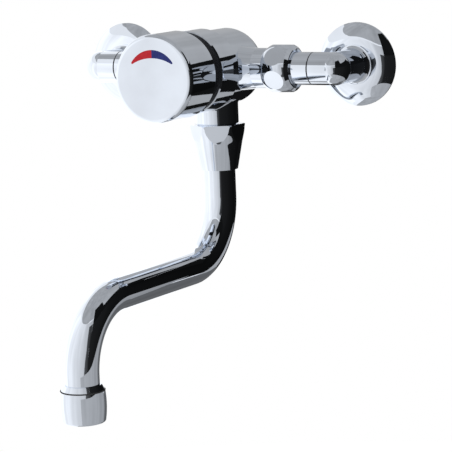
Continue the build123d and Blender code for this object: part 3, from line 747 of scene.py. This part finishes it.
@dataclass(frozen=True)
class SpoutNut(TurnedNut):
    """Nut that hangs along Z, straight above and tapered below, where its flats run out."""

    top: float = -31.5 * MM
    bottom: float = -57.0 * MM
    top_r: float = 15.33 * MM
    top_slope: float = 0.04
    flats_end: float = -41.7 * MM
    shoulder_slope: float = 0.255
    bottom_r: float = 10.6 * MM
    knee: float = 0.16 * MM
    lip: float = 0.6 * MM
    hole_r: float = 9.1 * MM
    thread_r: float = 10.53 * MM
    thread_end: float = -45.0 * MM
    half_flats: float = 13.6 * MM
    first_flat: float = -2.5
    rows: int = 36
    steps: int = 144
    sharp_angle: float = 14.0

    def radius(self, height: float) -> float:
        """Outer radius: a straight top, a shoulder that ends the flats, and a cone.

        Args:
            height: The height, below zero.

        Returns:
            The radius there, with a rounded knee between top and shoulder.
        """
        straight = self.top_r + self.top_slope * (height - self.top)
        shoulder = self.half_flats + self.shoulder_slope * (height - self.flats_end)
        cone_slope = (self.half_flats - self.bottom_r) / (self.flats_end - self.bottom)
        cone = self.bottom_r + cone_slope * (height - self.bottom)
        upper = (straight + shoulder) / 2 - math.hypot((straight - shoulder) / 2, self.knee)
        return max(upper, cone)

    def outline(self) -> list[Span]:
        """The nut's closed section.

        Returns:
            Heights and radii.
        """
        points = [(self.thread_end, self.hole_r), (self.bottom, self.hole_r)]
        lip_start = self.top - self.lip
        for row in range(self.rows + 1):
            height = self.bottom + (lip_start - self.bottom) * row / self.rows
            points.append((height, self.radius(height)))
        points.append((self.top, self.radius(lip_start) - self.lip))
        return points + [(self.top, self.thread_r), (self.thread_end, self.thread_r)]


@dataclass
class InletSide(Assembly):
    """One inlet: wall flange, elbow with its threaded tail, sleeve, check valve, washer and nut."""

    side: Side = Side.RIGHT
    half_spacing: float = 75.0 * MM
    axis_from_wall: float = 28.5 * MM
    tail_start: float = 1.0 * MM
    tail_end: float = 14.0 * MM
    tail_end_r: float = 9.28 * MM
    thread_r: float = 10.48 * MM
    thread_root_r: float = 9.6 * MM
    thread_pitch: float = 1.814 * MM
    thread_run_in: float = 1.4 * MM
    thread_taper: float = 1.2 * MM
    thread_rows: int = 131
    thread_steps: int = 96
    joint_x: float = 62.0 * MM
    joint_ring_r: float = 8.8 * MM
    joint_ring_section_r: float = 0.24 * MM
    skin_depth: float = 0.02 * MM

    def node_names(self) -> Iterable[str]:
        """Names of the nodes in this sub-assembly."""
        kinds = ("wall_flange", "elbow", "inlet_sleeve", "check_valve", "filter_washer", "union_nut")
        return [kind + "_" + self.side.word for kind in kinds]

    @property
    def tail_x(self) -> float:
        """Where the tail's axis stands along X."""
        return self.side.value * self.half_spacing

    def is_tail_skin(self, point: Vector) -> bool:
        """Whether a point lies on the plain outside of the elbow's tail.

        Args:
            point: The point.

        Returns:
            True on the outside, within the skin's depth.
        """
        radius = math.hypot(point.x - self.tail_x, point.z)
        outside = radius > self.tail_end_r - self.skin_depth
        return outside and point.y > self.tail_start - self.skin_depth

    def elbow_without_skin(self) -> bpy.types.Mesh:
        """Copy the elbow's mesh and its exact normals.

        Returns:
            The mesh without the plain outside of the tail.
        """
        source = self.frame["nodes"]["elbow_" + self.side.word].data
        normals = [corner.vector.copy() for corner in source.corner_normals]
        points = [vertex.co.copy() for vertex in source.vertices]
        faces = []
        kept_normals = []
        for face in source.polygons:
            if not all(self.is_tail_skin(points[index]) for index in face.vertices):
                faces.append(tuple(face.vertices))
                kept_normals += [normals[corner] for corner in face.loop_indices]
        mesh = bpy.data.meshes.new("elbow_cover_" + self.side.word)
        mesh.from_pydata(points, [], faces)
        mesh.shade_smooth()
        mesh.normals_split_custom_set(kept_normals)
        return mesh

    def thread_radius(self, along: float, angle: float) -> float:
        """Radius of the tail's outside.

        Args:
            along: Distance from the wall's face, into the wall.
            angle: Angle round the tail.

        Returns:
            The radius, on a right-hand thread with rounded crests and roots.
        """
        turn = ((along - self.tail_start) / self.thread_pitch + angle / math.tau) % 1.0
        ridge = rounded(1.0 - abs(2.0 * turn - 1.0))
        run_in = min(1.0, (along - self.tail_start) / self.thread_run_in)
        radius = self.thread_root_r + (self.thread_r - self.thread_root_r) * ridge * run_in
        taper = max(0.0, along - (self.tail_end - self.thread_taper))
        return min(radius, self.thread_r - taper)

    def thread_mesh(self) -> bpy.types.Mesh:
        """Mesh of the tail's thread.

        Returns:
            The thread, open at both ends.
        """
        rows = []
        for row in range(self.thread_rows + 1):
            along = self.tail_start + (self.tail_end - self.tail_start) * row / self.thread_rows
            ring = []
            for step in range(self.thread_steps):
                angle = -math.tau * step / self.thread_steps
                radius = self.thread_radius(along, angle)
                x = self.tail_x + radius * math.cos(angle)
                ring.append(Vector((x, along, radius * math.sin(angle))))
            rows.append(ring)
        return grid_mesh("tail_thread_" + self.side.word, rows)

    def build_pieces(self) -> list[bpy.types.Object]:
        """Give the elbow its threaded tail, the joint its dark ring of painted shade and the nut its
        ball form.

        Returns:
            The pieces.
        """
        elbow = "elbow_" + self.side.word
        slot = self.slot_of(elbow)
        cover = self.add_piece("elbow_cover_" + self.side.word, self.elbow_without_skin(), slot)
        thread = self.add_piece("tail_thread_" + self.side.word, self.thread_mesh(), slot)
        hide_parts(elbow)
        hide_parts(elbow)
        # A dark rubber ring in the joint between sleeve and elbow: painted shade of the joint's gap.
        centre = (self.side.value * self.joint_x, -self.axis_from_wall, 0.0)
        shade_ring = PaintedShadeRing(centre, ALONG_X, self.joint_ring_r, self.joint_ring_section_r)
        name = "joint_ring_" + self.side.word
        ring = self.add_piece(name, shade_ring.mesh(name), SHADE_RING_SLOT)
        name = "union_nut_" + self.side.word
        form = UnionNut(axis_from_wall=self.axis_from_wall, side=self.side)
        nut = self.add_piece("ball_" + name, form.mesh("ball_" + name), self.slot_of(name))
        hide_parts(name)
        return [cover, thread, ring, nut]


@dataclass
class Body(Assembly):
    """The body casting and what is fixed in its head."""

    NODES = ("body", "port_gasket", "retaining_ring", "guide_sleeve")


@dataclass
class Cartridge(Assembly):
    """The mixing cartridge with its push valve."""

    NODES = (
        "cartridge_base", "fixed_disc", "cartridge_housing", "housing_seal", "thrust_ring",
        "gland_bush", "gland_seal", "mixing_disc", "drive_carrier", "carrier_seal", "stem",
        "valve_washer", "piston", "piston_nut", "timing_cup", "cup_spacer", "cup_clip",
    )


@dataclass
class Knob(Assembly):
    """The push-and-turn knob with its marks, screw and spring."""

    NODES = ("knob", "knob_screw", "hot_mark", "cold_mark", "return_spring")

    push_joint: str = "push"
    push_travel: float = 5.0 * MM
    spare: float = 0.3 * MM

    def build_pieces(self) -> list[bpy.types.Object]:
        """Put a copy of the return spring's wire in place of its node.

        Returns:
            The spring's wire.
        """
        node = "return_spring"
        mesh = self.frame["nodes"][node].data.copy()
        spring = self.add_piece("spring_wire", mesh, self.slot_of(node))
        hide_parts(node)
        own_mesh(spring)
        return [spring]


@dataclass
class Spout(Assembly):
    """The swivelling spout with its nut, seals and nozzle."""

    NODES = (
        "spout_nut", "upper_slide_ring", "lower_slide_ring", "spout_collar", "spout_seals",
        "spout_tube", "nozzle_ferrule", "nozzle_washer", "flow_straightener", "nozzle",
    )

    nozzle_from_wall: float = 177.5 * MM
    nozzle_top: float = -151.75 * MM
    nozzle_shade_ring_r: float = 11.3 * MM
    nozzle_shade_ring_section_r: float = 0.42 * MM

    def build_pieces(self) -> list[bpy.types.Object]:
        """Lay the dark ring of painted shade above the nozzle, and give the spout nut its rounded
        taper.

        Returns:
            The ring and the nut.
        """
        # A dark rubber ring at the nozzle's joint: painted shade of the gap between nozzle and ferrule.
        centre = (0.0, -self.nozzle_from_wall, self.nozzle_top)
        shade_ring = PaintedShadeRing(centre, UP, self.nozzle_shade_ring_r, self.nozzle_shade_ring_section_r)
        ring = self.add_piece("nozzle_ring", shade_ring.mesh("nozzle_ring"), SHADE_RING_SLOT, SPOUT_BODY)
        form = SpoutNut().mesh("tapered_spout_nut")
        nut = self.add_piece("tapered_spout_nut", form, self.slot_of("spout_nut"))
        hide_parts("spout_nut")
        return [ring, nut]


@dataclass
class PhotoCamera:
    """The camera at the photograph's viewing angle, in degrees."""

    distance: float = 1.2
    azimuth: float = 29.89
    elevation: float = 8.92
    roll: float = -2.30
    focal_pixels: float = 2185.0
    frame_pixels: float = 452.0
    sensor_mm: float = 36.0
    near: float = 0.01
    far: float = 20.0
    target: Vector = field(default_factory=lambda: Vector((0.02093, -0.06, -0.084)))

    def turned(self) -> tuple[Vector, Vector, Vector]:
        """Work out how the camera stands.

        Returns:
            Its right, up and backward directions.
        """
        around = math.radians(self.azimuth)
        above = math.radians(self.elevation)
        back = Vector((
            math.sin(around) * math.cos(above),
            -math.cos(around) * math.cos(above),
            math.sin(above),
        ))
        right = Vector(UP).cross(back).normalized()
        up = back.cross(right)
        roll = math.radians(self.roll)
        rolled_right = math.cos(roll) * right + math.sin(roll) * up
        rolled_up = math.cos(roll) * up - math.sin(roll) * right
        return rolled_right, rolled_up, back

    def build(self) -> list[bpy.types.Object]:
        """Create the camera and make it the scene's own.

        Returns:
            The camera, alone in a list.
        """
        data = bpy.data.cameras.new("photo_camera")
        data.sensor_fit = "HORIZONTAL"
        data.sensor_width = self.sensor_mm
        data.lens = self.focal_pixels * self.sensor_mm / self.frame_pixels
        data.clip_start = self.near
        data.clip_end = self.far
        camera = bpy.data.objects.new("photo_camera", data)
        axes = self.turned()
        place = Matrix.Translation(self.target + axes[2] * self.distance)
        camera.matrix_world = place @ Matrix(axes).transposed().to_4x4()
        bpy.context.scene.collection.objects.link(camera)
        bpy.context.scene.camera = camera
        return [camera]


@dataclass(frozen=True)
class Card:
    """A curved studio card round the tap, which shows only in polished surfaces.

    Its ends are angles in degrees from the front towards the right. Its level runs from the
    first end to the second, its first end may lean, and its bottom edge may rise towards it.
    """

    name: str
    levels: Span
    distance: float
    start: float
    end: float
    bottom: float
    top: float
    lean: float = 0.0
    rise: float = 0.0


@dataclass(frozen=True)
class Lamp:
    """A soft square lamp that points at the tap."""

    name: str
    place: Place
    side: float
    watts: float


@dataclass
class Studio:
    """Plain pale floor, soft lamps, white surroundings, and the light and dark cards for chrome."""

    SEEN_WHITE: ClassVar[tuple[str, ...]] = ("Is Camera Ray", "Is Glossy Ray", "Is Transmission Ray")
    CARDS_HIDDEN_FROM: ClassVar[tuple[str, ...]] = (
        "camera", "diffuse", "shadow", "transmission", "volume_scatter",
    )

    floor_height: float = -0.55
    floor_radius: float = 1.3
    floor_colour: Colour = (0.6, 0.6, 0.6)
    floor_glow: float = 0.64
    surroundings: float = 1.0
    fill_light: float = 0.55
    card_step: float = 3.0
    streak_size: float = 0.09
    streak_run: Place = (1.0, 1.0, 0.25)
    streak_edges: Span = (0.3, 0.7)
    streak_depth: float = 0.12
    overhead_level: float = 0.43
    overhead_radius: float = 0.74
    overhead_height: float = 0.82
    sheet_level: float = 0.44
    sheet_height: float = -0.49
    sheet_corners: tuple[Span, ...] = (
        (0.27, -1.2), (1.0, -0.8), (1.0, 0.5), (-0.4, 0.5), (-0.28, 0.21), (-0.08, -0.25),
    )
    circle_sides: int = 96
    centre: Vector = field(default_factory=lambda: Vector((0.0, -0.06, 0.0)))
    cards: tuple[Card, ...] = (
        Card("left_card", (1.30, 1.22), 0.27, -150.0, -55.0, -0.60, 0.12),
        Card("left_front_card", (1.22, 0.96), 0.27, -55.0, -18.0, -0.60, 0.12),
        Card("front_card", (0.96, 0.76), 0.27, -18.0, 14.0, -0.60, 0.12),
        Card("front_end_card", (0.76, 0.40), 0.27, 14.0, 55.0, -0.60, 0.12),
        Card("left_high_card", (0.50, 0.44), 0.27, -85.0, -25.0, 0.15, 0.66, rise=0.20),
        Card("front_high_card", (0.44, 0.42), 0.27, -25.0, 55.0, 0.13, 0.66, rise=0.02),
        Card("low_edge_card", (0.10, 0.03), 0.245, 24.0, 44.0, -0.175, -0.085, lean=9.0),
        Card("dark_edge_card", (0.08, 0.03), 0.245, 33.0, 46.0, -0.085, 0.04, lean=-2.0),
        Card("black_card", (0.015, 0.004), 0.24, 42.0, 150.0, -0.185, 0.04, lean=5.0),
        Card("black_back_card", (0.007, 0.007), 0.24, 150.0, 172.0, -0.13, 0.036),
        Card("grey_back_card", (0.44, 0.44), 0.24, 150.0, 172.0, -0.20, -0.13),
        Card("black_end_card", (0.007, 0.007), 0.24, 172.0, 198.0, -0.20, 0.036),
        Card("black_front_card", (0.007, 0.007), 0.24, 47.0, 84.0, 0.04, 0.30),
        Card("black_upper_card", (0.007, 0.007), 0.24, 74.0, 136.0, 0.04, 0.12),
        Card("black_ledge_card", (0.007, 0.007), 0.24, 136.0, 160.0, 0.04, 0.075),
        Card("low_card", (0.50, 0.36), 0.235, 11.0, 145.0, -0.50, -0.16),
        Card("low_back_card", (0.14, 0.14), 0.25, 145.0, 205.0, -0.50, -0.20),
        Card("high_card", (0.45, 0.45), 0.26, 55.0, 222.0, 0.036, 0.62),
    )
    lamps: tuple[Lamp, ...] = (
        Lamp("key_lamp", (-0.9, -1.4, 1.2), 1.2, 15.0),
        Lamp("fill_lamp", (1.2, -1.0, 0.6), 1.0, 6.0),
    )

    def build_world(self) -> None:
        """White surroundings for the camera and for gloss, and a plain level of light elsewhere."""
        world = bpy.data.worlds.new("studio")
        bpy.context.scene.world = world
        tree = NodeTree(world)
        white = (1.0, 1.0, 1.0)
        lit = tree.node("ShaderNodeBackground", inputs={"Color": white, "Strength": self.fill_light})
        seen = tree.node("ShaderNodeBackground", inputs={"Color": white, "Strength": self.surroundings})
        mask = tree.light_path(*self.SEEN_WHITE)
        both = {0: mask, 1: lit.outputs[0], 2: seen.outputs[0]}
        mix = tree.node("ShaderNodeMixShader", inputs=both)
        tree.node("ShaderNodeOutputWorld", inputs={"Surface": mix.outputs[0]})

    def card_material(self) -> bpy.types.Material:
        """Material of the cards, as light as each mesh says.

        Returns:
            The material, with soft upright streaks.
        """
        shader = Shader("studio_card")
        level = shader.node("ShaderNodeAttribute", {"attribute_name": LEVEL_LAYER})
        clouds = shader.noise(self.streak_size, Detail.SOFT, self.streak_run)
        streaks = shader.ramp(clouds, *self.streak_edges)
        even = 1.0 - self.streak_depth + 2.0 * self.streak_depth * streaks
        light = Value(shader, level.outputs["Fac"]) * even
        return shader.surface(shader.node("ShaderNodeEmission", inputs={"Color": light}))

    def floor_material(self) -> bpy.types.Material:
        """Pale paper, which the camera sees as white round the tap's shadow.

        Returns:
            The material.
        """
        shader = Shader("floor")
        glow = shader.light_path(*self.SEEN_WHITE) * self.floor_glow
        paper = shader.node("ShaderNodeBsdfDiffuse", inputs={"Color": self.floor_colour})
        light = shader.node("ShaderNodeEmission", inputs={"Color": glow})
        both = {0: paper.outputs[0], 1: light.outputs[0]}
        return shader.surface(shader.node("ShaderNodeAddShader", inputs=both))

    def stage_piece(
        self,
        name: str,
        points: Sequence[Place],
        faces: Sequence[Sequence[int]],
        material: bpy.types.Material,
    ) -> bpy.types.Object:
        """Make an object of the studio.

        Args:
            name: The object's name.
            points: Its corners.
            faces: The numbers of each face's corners.
            material: Its material.

        Returns:
            The object.
        """
        mesh = bpy.data.meshes.new(name)
        mesh.from_pydata(points, [], faces)
        mesh.materials.append(material)
        made = bpy.data.objects.new(name, mesh)
        bpy.context.scene.collection.objects.link(made)
        return made

    def light_up(self, card: bpy.types.Object, levels: Sequence[float]) -> bpy.types.Object:
        """Set how light a card is, and let it show in reflections and nowhere else.

        Args:
            card: The card.
            levels: The level at each of its corners.

        Returns:
            The same card.
        """
        layer = card.data.attributes.new(LEVEL_LAYER, "FLOAT", "POINT")
        layer.data.foreach_set("value", levels)
        for ray in self.CARDS_HIDDEN_FROM:
            setattr(card, "visible_" + ray, False)
        return card

    def build_flat(
        self, name: str, outline: Sequence[Span], height: float, material: bpy.types.Material
    ) -> bpy.types.Object:
        """Lay a flat piece of the studio, whose corners are given as seen from above."""
        points = [(x, y, height) for x, y in outline]
        return self.stage_piece(name, points, [tuple(range(len(points)))], material)

    def circle(self, radius: float) -> list[Span]:
        """Corners of a round piece over the studio's centre.

        Args:
            radius: The piece's radius.

        Returns:
            The corners, seen from above.
        """
        edge = []
        for side in range(self.circle_sides):
            angle = math.tau * side / self.circle_sides
            x = self.centre.x + radius * math.cos(angle)
            edge.append((x, self.centre.y + radius * math.sin(angle)))
        return edge

    def build_card(self, card: Card, material: bpy.types.Material) -> bpy.types.Object:
        """Bend one card round the tap.

        Args:
            card: The card's size, place and levels.
            material: The cards' material.

        Returns:
            The card.
        """
        steps = round((card.end - card.start) / self.card_step)
        points, levels = [], []
        for step in range(steps + 1):
            share = step / steps
            bottom = card.bottom + card.rise * (1.0 - share)
            for height, start in ((bottom, card.start), (card.top, card.start + card.lean)):
                angle = math.radians(start + (card.end - start) * share)
                x = self.centre.x + card.distance * math.sin(angle)
                y = self.centre.y - card.distance * math.cos(angle)
                points.append((x, y, height))
                levels.append(card.levels[0] + (card.levels[1] - card.levels[0]) * share)
        # The points go in pairs, the lower one first.
        faces = [(low, low + 2, low + 3, low + 1) for low in range(0, 2 * steps, 2)]
        return self.light_up(self.stage_piece(card.name, points, faces, material), levels)

    def build_lamp(self, lamp: Lamp) -> bpy.types.Object:
        """Set up one lamp.

        Args:
            lamp: The lamp's size, place and power.

        Returns:
            The lamp.
        """
        data = bpy.data.lights.new(lamp.name, "AREA")
        data.shape = "SQUARE"
        data.size = lamp.side
        data.energy = lamp.watts
        made = bpy.data.objects.new(lamp.name, data)
        place = Vector(lamp.place)
        turned = (self.centre - place).to_track_quat("-Z", "Y").to_matrix().to_4x4()
        made.matrix_world = Matrix.Translation(place) @ turned
        made.visible_glossy = False
        bpy.context.scene.collection.objects.link(made)
        return made

    def build(self) -> list[bpy.types.Object]:
        """Set up the whole studio.

        Returns:
            The floor, the cards and the lamps.
        """
        self.build_world()
        light = self.card_material()
        floor_edge = self.circle(self.floor_radius)
        floor = self.build_flat("floor", floor_edge, self.floor_height, self.floor_material())
        above = self.circle(self.overhead_radius)
        overhead = self.build_flat("overhead_card", above, self.overhead_height, light)
        sheet = self.build_flat("grey_sheet", self.sheet_corners, self.sheet_height, light)
        self.light_up(overhead, [self.overhead_level] * len(above))
        self.light_up(sheet, [self.sheet_level] * len(self.sheet_corners))
        cards = [self.build_card(card, light) for card in self.cards]
        lamps = [self.build_lamp(lamp) for lamp in self.lamps]
        return [floor, overhead, sheet, *cards, *lamps]


def report(made: Iterable[bpy.types.Object]) -> None:
    """Log each object with its kind and its finish.

    Args:
        made: The objects.
    """
    for piece in made:
        finish = piece.active_material.name if piece.active_material else "no finish"
        log.info("%s: %s, %s", piece.name, piece.type.lower(), finish)


def main() -> None:
    """Build the scene in order and report each piece."""
    logging.basicConfig(level=logging.INFO, format="%(name)s: %(message)s")
    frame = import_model()
    bpy.context.scene.view_settings.view_transform = "Standard"
    palette = Palette()
    parts = (
        InletSide(frame, palette, Side.LEFT),
        InletSide(frame, palette, Side.RIGHT),
        Body(frame, palette),
        Cartridge(frame, palette),
        Knob(frame, palette),
        Spout(frame, palette),
        Studio(),
        PhotoCamera(),
    )
    for part in parts:
        report(part.build())


if __name__ == "__main__":
    main()
